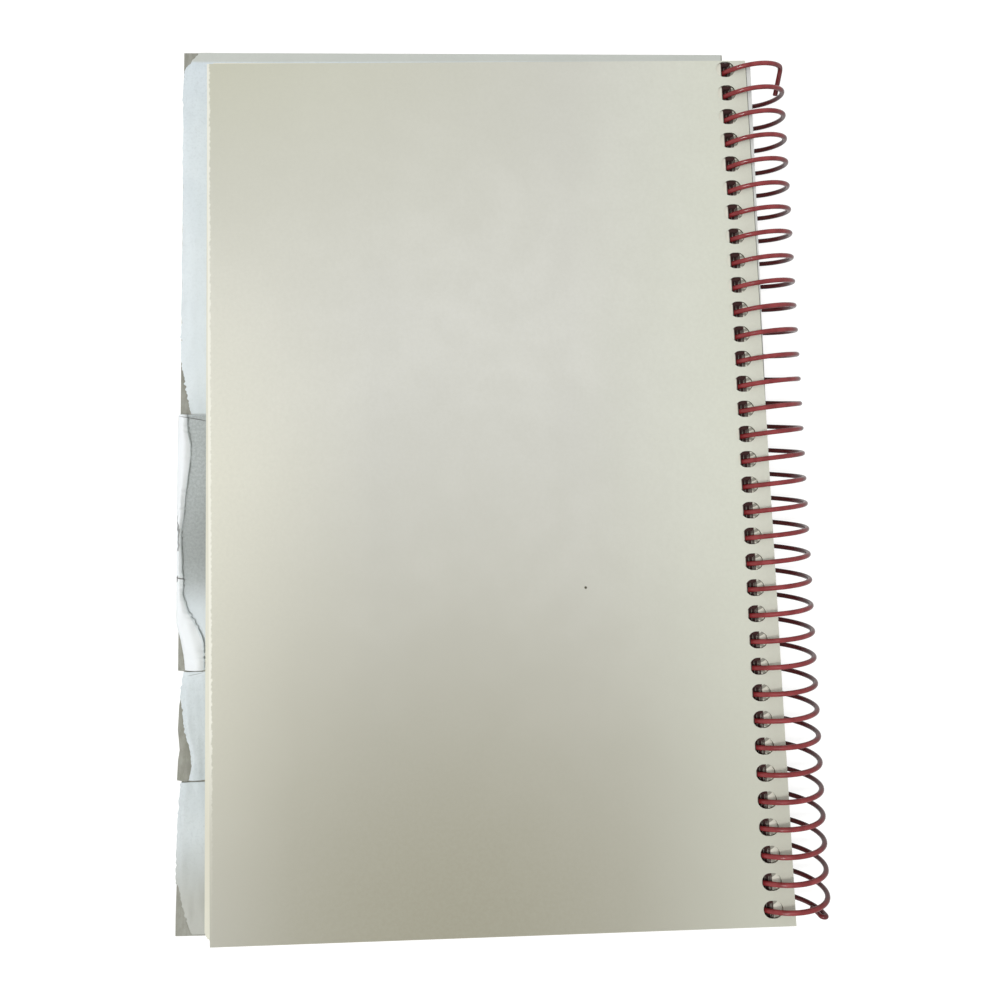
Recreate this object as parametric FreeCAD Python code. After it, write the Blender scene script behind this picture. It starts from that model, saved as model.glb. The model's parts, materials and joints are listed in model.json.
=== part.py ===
import FreeCAD, Part
import math
import os

# A spiral-bound cookbook lying face down: a thin back cover on top, the block of
# leaves, and an oversize front cover of lined board underneath, all threaded on
# one wire coil. Millimetres. +X points to the coil, +Y to the head of the book
# and +Z up. The book is built around the coil, whose axis is first the Y axis,
# and is then set down on Z = 0 with the origin under the middle of its box.

# Leaves and covers
back_width = 139.7
back_height = 215.9
leaf_width = 138.4
leaf_height = 214.6
front_width = 147.5
front_height = 228.6
back_thickness = 0.5
block_thickness = 12.2
lining_thickness = 0.2
board_thickness = 1.0
sheet_gap = 0.05            # air between the block and each cover

# Coil and its row of holes
hole_count = 34
hole_pitch = 6.35
coil_bore = 18.0            # inside diameter of the coil
wire_diameter = 1.2
hole_margin = 5.35          # hole centre to the spine edge of a leaf or the back cover
front_margin = 3.9          # the same on the front cover
back_hole_width = 4.8       # across the spine; the holes of the back cover are oblong
back_hole_height = 4.1      # along the spine
leaf_hole_height = 4.6      # the leaves have square-cornered holes
front_hole_width = 4.0      # the front cover too
front_hole_height = 4.0
wire_clearance = 0.15       # wire to the long sides of the holes through the block
end_clearance = 0.15        # wire to the foot end of the holes through the block
open_clearance = 0.3        # wire to the head end of the back cover's holes, once open

# How the sheets sit on the coil
cover_swing = 90.0          # degrees that each cover turns about the coil
back_turn = 0.35            # degrees that the back cover sits askew on the coil
front_turn = -0.25          # the same for the front cover
back_rise = -0.8            # its middle stands this far towards the head from its holes'
leaf_rise = -0.9            # the same for the leaves
front_rise = 1.3            # the front cover's middle, from the middle of the leaves' holes

# Ends of the wire. The head end is crimped inside the next turn, and the foot end is
# hooked back inside its own turn.
tail_angle = -186.0         # degrees round the coil, from its hole side over the top
head_angle = 138.0
crimp_radius = 1.8
crimp_slope = 33.0          # degrees that the crimp dips on its way towards the foot
crimp_overrun = 0.3         # how far it passes the next turn
hook_gap = 0.1              # between the hooked end and the turn outside it
hook_angle = 25.0           # degrees round the coil that the hooked end runs back
snip_radius = 0.25          # rounding of the snipped wire ends

# Wear along the fore-edge: (distance below the middle of the front cover, bite)
board_bites = [(49.7, 0.0), (49.9, 1.5), (55.6, 0.9), (58.3, 0.4), (64.3, 0.1),
               (69.4, 0.6), (72.0, 0.2), (76.8, 0.0), (77.0, 1.2), (82.9, 0.6),
               (100.7, 0.2), (109.6, 0.0)]
lining_corner = 7.2         # worn round corner at the head
lining_tear = [(-30.0, 0.3), (-25.7, 1.2), (-20.3, 2.1), (-16.6, 2.9), (-14.9, 6.3),
               (-15.8, 3.6), (-16.1, 0.5)]
lining_bays = [(34.5, 0.5), (41.5, 1.2), (49.3, 2.8), (49.9, 5.7), (50.4, 1.8),
               (55.6, 1.2), (59.2, 1.4), (63.2, 1.9), (65.9, 2.5), (68.5, 3.4),
               (73.2, 3.8), (76.5, 3.3), (77.1, 1.6), (82.9, 1.0), (100.5, 0.5),
               (105.7, 1.6)]
lining_foot_cut = 4.2       # the lining is cut off slantwise at the foot corner

# Sizes that follow from the ones above
wire_radius = wire_diameter / 2
coil_radius = (coil_bore + wire_diameter) / 2
stack = (back_thickness + block_thickness + lining_thickness + board_thickness
         + 2 * sheet_gap)
back_top = stack / 2
back_base = back_top - back_thickness
block_top = back_base - sheet_gap
block_base = block_top - block_thickness
lining_top = block_base - sheet_gap
board_top = lining_top - lining_thickness
board_base = board_top - board_thickness
row_length = (hole_count - 1) * hole_pitch
lead = hole_pitch / 360     # advance of the wire for each degree round the coil


def wire_x(z):
    """X of the wire's middle on the side of the holes, at height z from the axis."""
    return -math.sqrt(coil_radius ** 2 - z ** 2)


def wire_angle(z):
    """Degrees round the coil from the hole side, where the wire is at height z."""
    return math.degrees(math.asin(z / coil_radius))


def slot_x(near, far):
    """Middle X of what the wire crosses in a sheet, between its near and far face."""
    outside = math.sqrt((coil_radius + wire_radius) ** 2 - near ** 2)
    inside = math.sqrt((coil_radius - wire_radius) ** 2 - far ** 2)
    return -(outside + inside) / 2


# Where the wire runs in the holes. The leaves have it at the foot end of theirs.
# Turning a cover makes its holes meet the wire further along. The front cover's have
# it half of that travel either side of their middle; the back cover's have it at the
# head end once the cover is open, and so near their middle while it is closed.
block_span = lead * (wire_angle(block_top) - wire_angle(block_base)) + wire_diameter
block_middle = lead * (wire_angle(block_top) + wire_angle(block_base)) / 2
wire_phase = -block_middle - (leaf_hole_height - block_span) / 2 + end_clearance
travel = lead * cover_swing
back_level = (back_top + back_base) / 2
front_level = (lining_top + board_base) / 2
back_room = back_hole_height / 2 - wire_radius - open_clearance
back_row_y = wire_phase + lead * wire_angle(back_level) + travel - back_room
front_row_y = wire_phase + lead * wire_angle(front_level) - travel / 2
back_hole_x = slot_x(back_base, back_top)
front_hole_x = slot_x(lining_top, board_base)


def row_y():
    """Y of each hole, measured from the middle of its row, from the foot up."""
    return [i * hole_pitch - row_length / 2 for i in range(hole_count)]


def oblong_hole(x, y, width, height, z_low, z_high):
    """A cutter with round ends across the spine, centred on x, y."""
    radius = height / 2
    reach = width / 2 - radius
    depth = z_high - z_low
    cutter = Part.makeBox(2 * reach, height, depth, FreeCAD.Vector(x - reach, y - radius, z_low))
    for side in (-1, 1):
        centre = FreeCAD.Vector(x + side * reach, y, z_low)
        cutter = cutter.fuse(Part.makeCylinder(radius, depth, centre))
    return cutter


def square_hole(x, y, width, height, z_low, z_high):
    """A cutter with square corners, centred on x, y."""
    corner = FreeCAD.Vector(x - width / 2, y - height / 2, z_low)
    return Part.makeBox(width, height, z_high - z_low, corner)


def ring_hole(y):
    """A cutter round the coil, so the holes bow through the block as the wire does."""
    low = FreeCAD.Vector(0, y - leaf_hole_height / 2, 0)
    along = FreeCAD.Vector(0, 1, 0)
    reach = wire_radius + wire_clearance
    outside = Part.makeCylinder(coil_radius + reach, leaf_hole_height, low, along)
    inside = Part.makeCylinder(coil_radius - reach, leaf_hole_height, low, along)
    return outside.cut(inside)


def askew(shape, degrees, x, y):
    """Turn a sheet flat about the middle of its row of holes."""
    return shape.rotated(FreeCAD.Vector(x, y, 0), FreeCAD.Vector(0, 0, 1), degrees)


def prism(points, z_low, thickness):
    """A sheet with a straight-sided outline."""
    corners = [FreeCAD.Vector(x, y, z_low) for x, y in points]
    outline = Part.makePolygon(corners + corners[:1])
    return Part.Face(outline).extrude(FreeCAD.Vector(0, 0, thickness))


def make_back_cover():
    """The thin back cover, with a row of oblong holes."""
    spine = back_hole_x + hole_margin
    foot = back_row_y + back_rise - back_height / 2
    corner = FreeCAD.Vector(spine - back_width, foot, back_base)
    sheet = Part.makeBox(back_width, back_height, back_thickness, corner)
    holes = [oblong_hole(back_hole_x, back_row_y + y, back_hole_width, back_hole_height,
                         back_base - 1, back_top + 1) for y in row_y()]
    return askew(sheet.cut(holes), back_turn, back_hole_x, back_row_y)


def make_page_block():
    """All the leaves as one block. Its spine and fore-edge bow as the coil does."""
    foot = leaf_rise - leaf_height / 2

    def edge(shift):
        levels = (block_base, 0, block_top)
        return [FreeCAD.Vector(wire_x(z) + shift, foot, z) for z in levels]

    spine = edge(hole_margin)
    fore = edge(hole_margin - leaf_width)
    outline = Part.Wire([
        Part.Arc(*spine).toShape(),
        Part.makeLine(spine[2], fore[2]),
        Part.Arc(*reversed(fore)).toShape(),
        Part.makeLine(fore[0], spine[0]),
    ])
    block = Part.Face(outline).extrude(FreeCAD.Vector(0, leaf_height, 0))
    return block.cut([ring_hole(y) for y in row_y()])


def front_frame():
    """Corners of the whole front cover: spine, fore-edge, foot and head."""
    spine = front_hole_x + front_margin
    return spine, spine - front_width, front_rise - front_height / 2, front_rise + front_height / 2


def front_holes(z_low, z_high):
    return [square_hole(front_hole_x, front_row_y + y, front_hole_width, front_hole_height,
                        z_low, z_high) for y in row_y()]


def make_front_cover():
    """The oversize board, with the bites worn out of its fore-edge."""
    spine, fore, foot, head = front_frame()
    worn = [(fore + bite, front_rise - along) for along, bite in board_bites]
    outline = [(spine, foot), (spine, head), (fore, head)] + worn + [(fore, foot)]
    board = prism(outline, board_base, board_thickness)
    board = board.cut(front_holes(board_base - 1, board_top + 1))
    return askew(board, front_turn, front_hole_x, front_row_y)


def make_cover_lining():
    """The paper pasted inside the front cover, torn and worn back at the fore-edge."""
    spine, fore, foot, head = front_frame()
    torn = [(fore + bite, front_rise - along) for along, bite in lining_tear + lining_bays]
    outline = [(spine, foot), (spine, head), (fore, head)] + torn
    outline += [(fore + lining_foot_cut, foot)]
    sheet = prism(outline, board_top, lining_thickness)
    corner = [e for e in sheet.Edges
              if all(abs(v.X - fore) < 0.01 and abs(v.Y - head) < 0.01 for v in e.Vertexes)]
    sheet = sheet.makeFillet(lining_corner, corner)
    sheet = sheet.cut(front_holes(board_top - 1, lining_top + 1))
    return askew(sheet, front_turn, front_hole_x, front_row_y)


def coil_point(angle, radius):
    """A point at an angle round the coil, from the hole side over the top."""
    turn = math.radians(angle)
    y = wire_phase - row_length / 2 + lead * angle
    return FreeCAD.Vector(-radius * math.cos(turn), y, radius * math.sin(turn))


def coil_heading(angle):
    """The direction of the wire at an angle round the coil."""
    turn = math.radians(angle)
    heading = FreeCAD.Vector(math.sin(turn), 0, math.cos(turn)) * math.radians(coil_radius)
    heading.y = lead
    return heading.normalize()


def make_turn(first, last):
    """The wire wound between two angles round the coil."""
    helix = Part.makeHelix(hole_pitch, lead * (last - first), coil_radius)
    helix.rotate(FreeCAD.Vector(), FreeCAD.Vector(1, 0, 0), -90)
    helix.rotate(FreeCAD.Vector(), FreeCAD.Vector(0, 1, 0), first - 180)
    helix.translate(FreeCAD.Vector(0, coil_point(first, coil_radius).y, 0))
    section = Part.makeCircle(wire_radius, coil_point(first, coil_radius), coil_heading(first))
    return helix.makePipeShell([Part.Wire(section)], True, True)


def curve(start, heading, across, radius, degrees):
    """An arc that sets off along heading and curves towards across, and its far heading."""
    def on_arc(turn):
        return start + heading * (radius * math.sin(turn)) + across * (radius * (1 - math.cos(turn)))

    end = math.radians(degrees)
    arc = Part.Arc(start, on_arc(end / 2), on_arc(end)).toShape()
    return arc, on_arc(end), heading * math.cos(end) + across * math.sin(end)


def wire_along(path, start, heading, tip):
    """The wire swept along a path of joined edges, with its snipped end rounded."""
    section = Part.makeCircle(wire_radius, start, heading)
    wire = Part.Wire(path).makePipeShell([Part.Wire(section)], True, False)
    snipped = [e for e in wire.Edges
               if e.isClosed() and (e.CenterOfMass - tip).Length < snip_radius]
    return wire.makeFillet(snip_radius, snipped)


def make_crimp(angle):
    """The head end, bent towards the foot and dipping so that it passes inside the next turn."""
    start = coil_point(angle, coil_radius)
    heading = coil_heading(angle)
    slope = math.radians(crimp_slope)
    footward = FreeCAD.Vector(0, -math.cos(slope), -math.sin(slope))
    across = (footward - heading * footward.dot(heading)).normalize()
    bend = math.degrees(heading.getAngle(footward))
    arc, corner, _ = curve(start, heading, across, crimp_radius, bend)
    tip = corner + footward * ((hole_pitch - crimp_radius + crimp_overrun) / math.cos(slope))
    return wire_along([arc, Part.makeLine(corner, tip)], start, heading, tip)


def make_hook(angle):
    """The foot end, bent back on itself and then following the inside of its own turn."""
    start = coil_point(angle, coil_radius)
    heading = coil_heading(angle) * -1
    inward = FreeCAD.Vector(-start.x, 0, -start.z).normalize()
    hook_radius = wire_radius + hook_gap / 2
    bend, turned, back = curve(start, heading, inward, hook_radius, 180)
    run, tip, _ = curve(turned, back, inward, coil_radius - 2 * hook_radius, hook_angle)
    return wire_along([bend, run], start, heading, tip)


def make_spiral_coil():
    """The coil: one turn for each hole, hooked at its foot end and crimped at its head end."""
    last = 360 * (hole_count - 1) + head_angle
    breaks = [tail_angle + i * (last - tail_angle) / hole_count for i in range(hole_count + 1)]
    turns = [make_turn(a, b) for a, b in zip(breaks, breaks[1:])]
    return turns[0].multiFuse(turns[1:] + [make_crimp(last), make_hook(tail_angle)])


def set_down(parts):
    """Lean the sheets about the coil until the fore-edge is down, and place the origin."""
    axis_height = coil_radius + wire_radius
    fore = parts["front_cover"].BoundBox.XMin
    reach = math.hypot(fore, board_base)
    lean = math.degrees(math.asin(axis_height / reach) - math.atan(board_base / fore))
    placed = {}
    for name, shape in parts.items():
        turn = 0 if name == "spiral_coil" else -lean
        placed[name] = shape.rotated(FreeCAD.Vector(), FreeCAD.Vector(0, 1, 0), turn)
    front = placed["front_cover"].BoundBox
    middle_x = (front.XMin + axis_height) / 2
    middle_y = (front.YMin + front.YMax) / 2
    shift = FreeCAD.Vector(-middle_x, -middle_y, axis_height)
    print("lean", round(lean, 4), "coil axis through", [round(c, 4) for c in shift])
    return {name: shape.translated(shift) for name, shape in placed.items()}


def main():
    parts = {
        "back_cover": make_back_cover(),
        "page_block": make_page_block(),
        "front_cover": make_front_cover(),
        "cover_lining": make_cover_lining(),
        "spiral_coil": make_spiral_coil(),
    }
    os.makedirs("parts", exist_ok=True)
    for name, shape in set_down(parts).items():
        solid = shape.Solids[0] if len(shape.Solids) == 1 else shape
        solid.exportStep("parts/" + name + ".step")
        box = solid.BoundBox
        print(name, len(shape.Solids), "solid, volume", round(solid.Volume, 2),
              "valid", solid.isValid(), [round(c, 2) for c in (
                  box.XMin, box.XMax, box.YMin, box.YMax, box.ZMin, box.ZMax)])


main()
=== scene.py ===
# %% [markdown]
# A spiral-bound cookbook lies face down on a pale surface, seen from almost straight above. Its thin
# back cover is on top, then the block of leaves, then a larger front cover of grey board lined with
# white paper, all threaded on a red coated wire. The solid model gives every size and place, so the
# first step loads it and keeps its box: everything made here has to stay inside that box.

# %% Load the frame
import json
import math
import random

import bmesh
import bpy
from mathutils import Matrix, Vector, noise


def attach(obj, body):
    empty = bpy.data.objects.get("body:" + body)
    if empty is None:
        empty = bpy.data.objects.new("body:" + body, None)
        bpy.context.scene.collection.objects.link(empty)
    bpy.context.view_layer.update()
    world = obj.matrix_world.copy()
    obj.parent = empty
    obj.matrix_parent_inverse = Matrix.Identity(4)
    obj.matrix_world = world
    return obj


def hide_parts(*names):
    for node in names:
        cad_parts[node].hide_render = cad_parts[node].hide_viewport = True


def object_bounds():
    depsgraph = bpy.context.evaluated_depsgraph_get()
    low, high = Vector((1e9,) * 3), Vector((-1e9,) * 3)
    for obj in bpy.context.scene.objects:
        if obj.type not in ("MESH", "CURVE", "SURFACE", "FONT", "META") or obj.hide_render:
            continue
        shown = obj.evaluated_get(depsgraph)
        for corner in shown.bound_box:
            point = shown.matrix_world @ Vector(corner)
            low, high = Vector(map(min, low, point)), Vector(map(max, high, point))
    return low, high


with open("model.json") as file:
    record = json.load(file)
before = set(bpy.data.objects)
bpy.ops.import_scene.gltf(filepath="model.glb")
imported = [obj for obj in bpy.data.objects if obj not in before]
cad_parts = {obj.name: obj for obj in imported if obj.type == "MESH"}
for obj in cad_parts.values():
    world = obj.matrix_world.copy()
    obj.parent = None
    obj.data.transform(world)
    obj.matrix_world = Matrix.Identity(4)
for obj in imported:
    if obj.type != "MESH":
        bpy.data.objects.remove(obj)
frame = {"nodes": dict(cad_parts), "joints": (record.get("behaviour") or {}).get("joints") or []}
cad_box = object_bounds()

print("box in metres", [[round(c, 4) for c in corner] for corner in cad_box])

# %% [markdown]
# The book was drawn round its coil: X to the coil, Y to the head, Z up, with the coil's axis as the Y
# axis and the sheets then leaning a little so that the fore-edge touches the table. Working in that
# frame keeps the numbers plain. Sizes below are in millimetres from the coil's axis and the middle of
# the row of holes, and `place` turns them into the row's own metres.

# %% The book's own frame
MM = 0.001
AXIS = Vector(frame["joints"][0]["pos_m"])
ROW_MIDDLE_Y = -1.6047 * MM
LEAN = math.radians(1.2141)
HOLES = 34
PITCH = 6.35
ROW_Y = [i * PITCH - (HOLES - 1) * PITCH / 2 for i in range(HOLES)]
COIL_RADIUS = 9.6
WIRE = 1.2


def place(x, y, z):
    """A point of a sheet, from millimetres round the coil to metres in the row's frame."""
    level_x = x * math.cos(LEAN) - z * math.sin(LEAN)
    level_z = x * math.sin(LEAN) + z * math.cos(LEAN)
    return Vector((AXIS.x + level_x * MM, ROW_MIDDLE_Y + y * MM, AXIS.z + level_z * MM))


print("fore-edge corner of the board at", [round(c, 4) for c in place(-151.1, -112.4, -7.0)])

# %% [markdown]
# Colours are written as the sRGB hex values one reads off a paint chart, and Blender mixes light in
# linear values, so one function turns one into the other. A second small function adds a node, sets
# it up and links it. Three kinds of node then do most of the work: Noise Texture makes a pattern, Map
# Range stretches its middle values into a mask, and Mix lays a colour over another where the mask is
# near 1. `paint` puts such coats one over another, so that a material reads as a list of them.

# %% Colours and nodes
SOFT_STEP = {"interpolation_type": "SMOOTHSTEP"}
TIMES = {"operation": "MULTIPLY"}
COLOURS = {"data_type": "RGBA"}


def colour(code):
    """An sRGB hex colour as linear red, green and blue, with an alpha of 1."""
    parts = [int(code[i:i + 2], 16) / 255 for i in (1, 3, 5)]
    return [c / 12.92 if c <= 0.04045 else ((c + 0.055) / 1.055) ** 2.4 for c in parts] + [1.0]


def add(tree, kind, inputs=None, **settings):
    """Add a node to a tree, with its settings and links. kind is its type without "ShaderNode".
    inputs maps a socket's name or number to a value, to a socket, or to a node, which stands for
    the first of its outputs in use."""
    made = tree.nodes.new("ShaderNode" + kind)
    for name, value in settings.items():
        setattr(made, name, value)
    for name, value in (inputs or {}).items():
        if isinstance(value, bpy.types.Node):
            value = next(socket for socket in value.outputs if socket.enabled)
        if isinstance(value, bpy.types.NodeSocket):
            tree.links.new(value, made.inputs[name])
        else:
            made.inputs[name].default_value = value
    return made


def new_material(name):
    """An empty node material, and its object's own coordinates in millimetres."""
    material = bpy.data.materials.new(name)
    material.use_nodes = True
    tree = material.node_tree
    tree.nodes.clear()
    metres = add(tree, "TexCoord").outputs["Object"]
    return material, tree, add(tree, "VectorMath", {0: metres, 1: (1000, 1000, 1000)}, **TIMES)


def paint(tree, base, *coats):
    """Lay coats of (mask, colour) over a base. A colour is a hex code or a node."""
    shade = colour(base) if isinstance(base, str) else base
    for mask, tint in coats:
        tint = colour(tint) if isinstance(tint, str) else tint
        shade = add(tree, "Mix", {0: mask, 6: shade, 7: tint}, **COLOURS)
    return shade


def graph(tree, value, points):
    """A line graph of (value, result) points, read off at a node's value. A ramp of greys holds the
    results, and a Map Range on each side of it brings the numbers to its 0 to 1 and back."""
    values, results = zip(*points)
    share = add(tree, "MapRange", {0: value, 1: min(values), 2: max(values)})
    line = add(tree, "ValToRGB", {0: share})
    span, rise = max(values) - min(values), max(results) - min(results)
    stops = line.color_ramp.elements
    while len(stops) < len(points):
        stops.new(0.5)
    for stop, (v, r) in zip(stops, sorted(points)):
        stop.position = (v - min(values)) / span
        stop.color = [(r - min(results)) / rise] * 3 + [1.0]
    return add(tree, "MapRange", {0: line, 3: min(results), 4: max(results)})


def blot(tree, where, middle, reach, amount):
    """A soft round blot: amount at its middle, nothing at its reach."""
    away = add(tree, "VectorMath", {0: where, 1: middle}, operation="DISTANCE")
    return add(tree, "MapRange", {0: away, 1: reach, 2: 0.0, 4: amount}, **SOFT_STEP)


print("sRGB middle grey is", round(colour("#808080")[0], 3), "in linear light")

# %% [markdown]
# The back cover is uncoated off-white card. Such card is never one flat colour: the pulp leaves soft
# clouds a few centimetres wide and a fine grain. Light and shade are painted into its outer face too.
# It is paler towards the fore-edge, paler and a little green by the coil, duller at the outer head
# corner and darkest at the middle of the foot, where the brown is partly yellowing of the card and
# partly painted shade. A pale line down its fore-edge is a painted highlight, the cut edges by the coil
# are darkened with painted shade, and one dark fleck is pressed in. A mask for each, at its real size,
# gives all of it. The inner face, seen when the book opens, has only the pulp. A low bump of the fibres
# keeps the light from sliding over it as it would over plastic. They are about 0.1 mm across in real
# card, too fine to show, so the grain is drawn at 0.9 mm.

# %% Card of the back cover
COVER_WIDTH = 139.7
COVER_EDGE_X = 68.813
COVER_EDGE_SLANT = -0.00611
CARD_GRAIN = 0.9
SHADE_AND_TONE_MIDDLE, SHADE_AND_TONE_REACH = (-13.6, -117.2, 16.0), 150.0
FLECK = (21.5, -29.1, 16.2)


def painted_edge_highlight(tree, where, across, along):
    """A painted highlight: a ragged strip about a millimetre wide down the card's fore-edge, fading out
    at the foot.
    """
    edge = add(tree, "Math", {0: along, 1: -COVER_EDGE_SLANT, 2: COVER_WIDTH - COVER_EDGE_X},
               operation="MULTIPLY_ADD")
    inside = add(tree, "Math", {0: across, 1: edge}, operation="ADD")
    nibbles = add(tree, "TexNoise", {"Vector": where, "Scale": 1 / CARD_GRAIN})
    nibbled = add(tree, "Math", {0: inside, 1: nibbles}, operation="ADD")
    strip = add(tree, "MapRange", {0: nibbled, 1: 1.35, 2: 0.95, 4: 0.8}, **SOFT_STEP)
    upper = graph(tree, along, [(-111, 0.0), (-85, 0.2), (-60, 1.0), (106, 1.0)])
    return add(tree, "Math", {0: strip, 1: upper}, **TIMES)


def uncoated_card():
    material, tree, where = new_material("uncoated_cover_card")
    spot = add(tree, "SeparateXYZ", {0: where})
    across, along = spot.outputs[0], spot.outputs[1]
    # The pulp, the same on both faces.
    clouds = add(tree, "TexNoise", {"Vector": where, "Scale": 1 / 45, "Detail": 3.0})
    cloudy = add(tree, "MapRange", {0: clouds, 1: 0.35, 2: 0.65}, **SOFT_STEP)
    patches = add(tree, "TexNoise", {"Vector": where, "Scale": 1 / 9})
    patchy = add(tree, "MapRange", {0: patches, 1: 0.3, 2: 0.7, 4: 0.4}, **SOFT_STEP)
    mottled = paint(tree, "#CECEC6", (cloudy, "#D3D3CB"), (patchy, "#CACAC1"))
    # Painted light and shade, from the fore-edge to the foot; the brown at the foot is partly yellowing
    # of the card.
    outer = add(tree, "Math", {
        0: graph(tree, across, [(-71, 1.0), (-30, 0.0), (71, 0.0)]),
        1: graph(tree, along, [(-111, 0.0), (-70, 0.8), (0, 1.0), (40, 0.6), (80, 0.0),
                               (106, 0.0)])}, **TIMES)
    coil_side = graph(tree, across, [(-71, 0.0), (20, 0.0), (60, 0.7), (71, 0.7)])
    head = add(tree, "Math", {
        0: graph(tree, along, [(-111, 0.0), (40, 0.0), (106, 1.0)]),
        1: graph(tree, across, [(-71, 1.0), (0, 0.4), (40, 0.0), (71, 0.0)])}, **TIMES)
    foot = add(tree, "Math", {
        0: blot(tree, where, SHADE_AND_TONE_MIDDLE, SHADE_AND_TONE_REACH, 1.0),
        1: graph(tree, across, [(-71, 0.8), (-50, 1.0), (30, 1.0), (60, 0.78), (71, 0.75)])}, **TIMES)
    # Grain, the painted highlight along the fore-edge, and the fleck.
    grain = add(tree, "TexNoise",
                {"Vector": where, "Scale": 1 / CARD_GRAIN, "Detail": 3.0, "Roughness": 0.7})
    grainy = add(tree, "MapRange", {0: grain, 1: 0.2, 2: 0.8, 4: 0.16}, **SOFT_STEP)
    from_fleck = add(tree, "VectorMath", {0: where, 1: FLECK}, operation="DISTANCE")
    fleck = add(tree, "MapRange", {0: from_fleck, 1: 0.45, 2: 0.2}, **SOFT_STEP)
    # The normal tells the cut edges and the inner face from the outer one.
    facing = add(tree, "SeparateXYZ", {0: add(tree, "TexCoord").outputs["Normal"]}).outputs[2]
    flatness = add(tree, "Math", {0: facing}, operation="ABSOLUTE")
    edge_on = add(tree, "MapRange", {0: flatness, 1: 0.6, 2: 0.4}, **SOFT_STEP)
    by_coil = add(tree, "MapRange", {0: across, 1: -60.0, 2: 0.0}, **SOFT_STEP)
    # Painted shade: the cut edges by the coil, the walls of the holes among them, are darkened.
    cut = add(tree, "Math", {0: edge_on, 1: by_coil}, **TIMES)
    outside = add(tree, "MapRange", {0: facing, 1: -0.6, 2: -0.4}, **SOFT_STEP)
    outer_face = paint(tree, mottled, (outer, "#DEDDCE"), (coil_side, "#D9DCCC"), (head, "#C6C6B4"),
                       (foot, "#9E9B89"), (grainy, "#B9B8AB"),
                       (painted_edge_highlight(tree, where, across, along), "#F1F0E4"), (fleck, "#4A4638"),
                       (cut, "#6F6D60"))
    bump = add(tree, "Bump", {"Strength": 0.25, "Distance": 0.00006, "Height": grain})
    shader = add(tree, "BsdfPrincipled",
                 {"Base Color": paint(tree, mottled, (outside, outer_face)), "Roughness": 0.78,
                  "IOR": 1.45, "Specular IOR Level": 0.35, "Normal": bump})
    add(tree, "OutputMaterial", {"Surface": shader})
    return material


back_cover = frame["nodes"]["back_cover"]
back_cover.data.materials.clear()
back_cover.data.materials.append(uncoated_card())
print("back cover:", len(back_cover.data.polygons), "faces of card")

# %% [markdown]
# The wire is steel in a red plastic coat, drawn straight and then wound, so it is smooth and glossy
# along its whole length. A clear coat over a dull deep red gives thin long highlights and no sheen
# beside them. Faint streaks in the red keep it from looking freshly made. Painted shade darkens it at
# the outer ends of the turns on the spine side, and on the side towards the table.

# %% Coated wire of the coil
def coated_wire():
    material, tree, where = new_material("red_plastic_coated_wire")
    spot = add(tree, "SeparateXYZ", {0: where})
    streaks = add(tree, "TexNoise", {"Vector": where, "Scale": 1 / 2.5})
    streaky = add(tree, "MapRange", {0: streaks, 1: 0.3, 2: 0.7}, **SOFT_STEP)
    # Painted shade: darker at the outer ends of the turns on the spine side, and on the side towards
    # the table.
    outer_turn_shade = add(tree, "MapRange", {0: spot.outputs[0], 1: AXIS.x / MM + 4.0, 2: AXIS.x / MM + 9.5,
                                     4: 0.8}, **SOFT_STEP)
    under = add(tree, "MapRange", {0: spot.outputs[2], 1: AXIS.z / MM - 1.0, 2: AXIS.z / MM - 8.0,
                                   4: 0.8}, **SOFT_STEP)
    red = paint(tree, "#7D2426", (streaky, "#933739"), (outer_turn_shade, "#541E22"), (under, "#2E191B"))
    shader = add(tree, "BsdfPrincipled",
                 {"Base Color": red, "Roughness": 0.4, "IOR": 1.45, "Specular IOR Level": 0.0,
                  "Coat Weight": 0.6, "Coat Roughness": 0.12, "Coat IOR": 1.55})
    add(tree, "OutputMaterial", {"Surface": shader})
    return material


spiral_coil = frame["nodes"]["spiral_coil"]
spiral_coil.data.materials.clear()
spiral_coil.data.materials.append(coated_wire())
print("coil:", len(spiral_coil.data.polygons), "faces of wire")

# %% [markdown]
# The front cover is grey board: recycled pulp rolled thick, its face flecked with paler fibres and
# stained here and there. It is matt, and shows only where the lining has gone and in its bare edges.

# %% Board of the front cover
def grey_board():
    material, tree, where = new_material("grey_pulp_board")
    drawn_out = add(tree, "VectorMath", {0: where, 1: (1, 0.4, 1)}, **TIMES)
    fibres = add(tree, "TexNoise",
                 {"Vector": drawn_out, "Scale": 1 / 1.6, "Detail": 4.0, "Roughness": 0.65})
    fibrous = add(tree, "MapRange", {0: fibres, 1: 0.3, 2: 0.7}, **SOFT_STEP)
    stains = add(tree, "TexNoise", {"Vector": where, "Scale": 1 / 14})
    stained = add(tree, "MapRange", {0: stains, 1: 0.4, 2: 0.65, 4: 0.5}, **SOFT_STEP)
    pulp = paint(tree, "#8F8F85", (fibrous, "#A6A69D"), (stained, "#8F9082"))
    bump = add(tree, "Bump", {"Strength": 0.4, "Distance": 0.0001, "Height": fibres})
    shader = add(tree, "BsdfPrincipled", {"Base Color": pulp, "Roughness": 0.9,
                                          "Specular IOR Level": 0.25, "Normal": bump})
    add(tree, "OutputMaterial", {"Surface": shader})
    return material


front_cover = frame["nodes"]["front_cover"]
front_cover.data.materials.clear()
front_cover.data.materials.append(grey_board())
print("front cover:", len(front_cover.data.polygons), "faces of board")

# %% [markdown]
# Two pieces of the book are sheets with the whole row of holes: each leaf, and the lining of the
# front cover. A boolean would cut the holes too, but slowly and with stray faces, so one function
# lays out the corners in four columns and joins them: fore-edge, two sides of the holes, spine.

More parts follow.
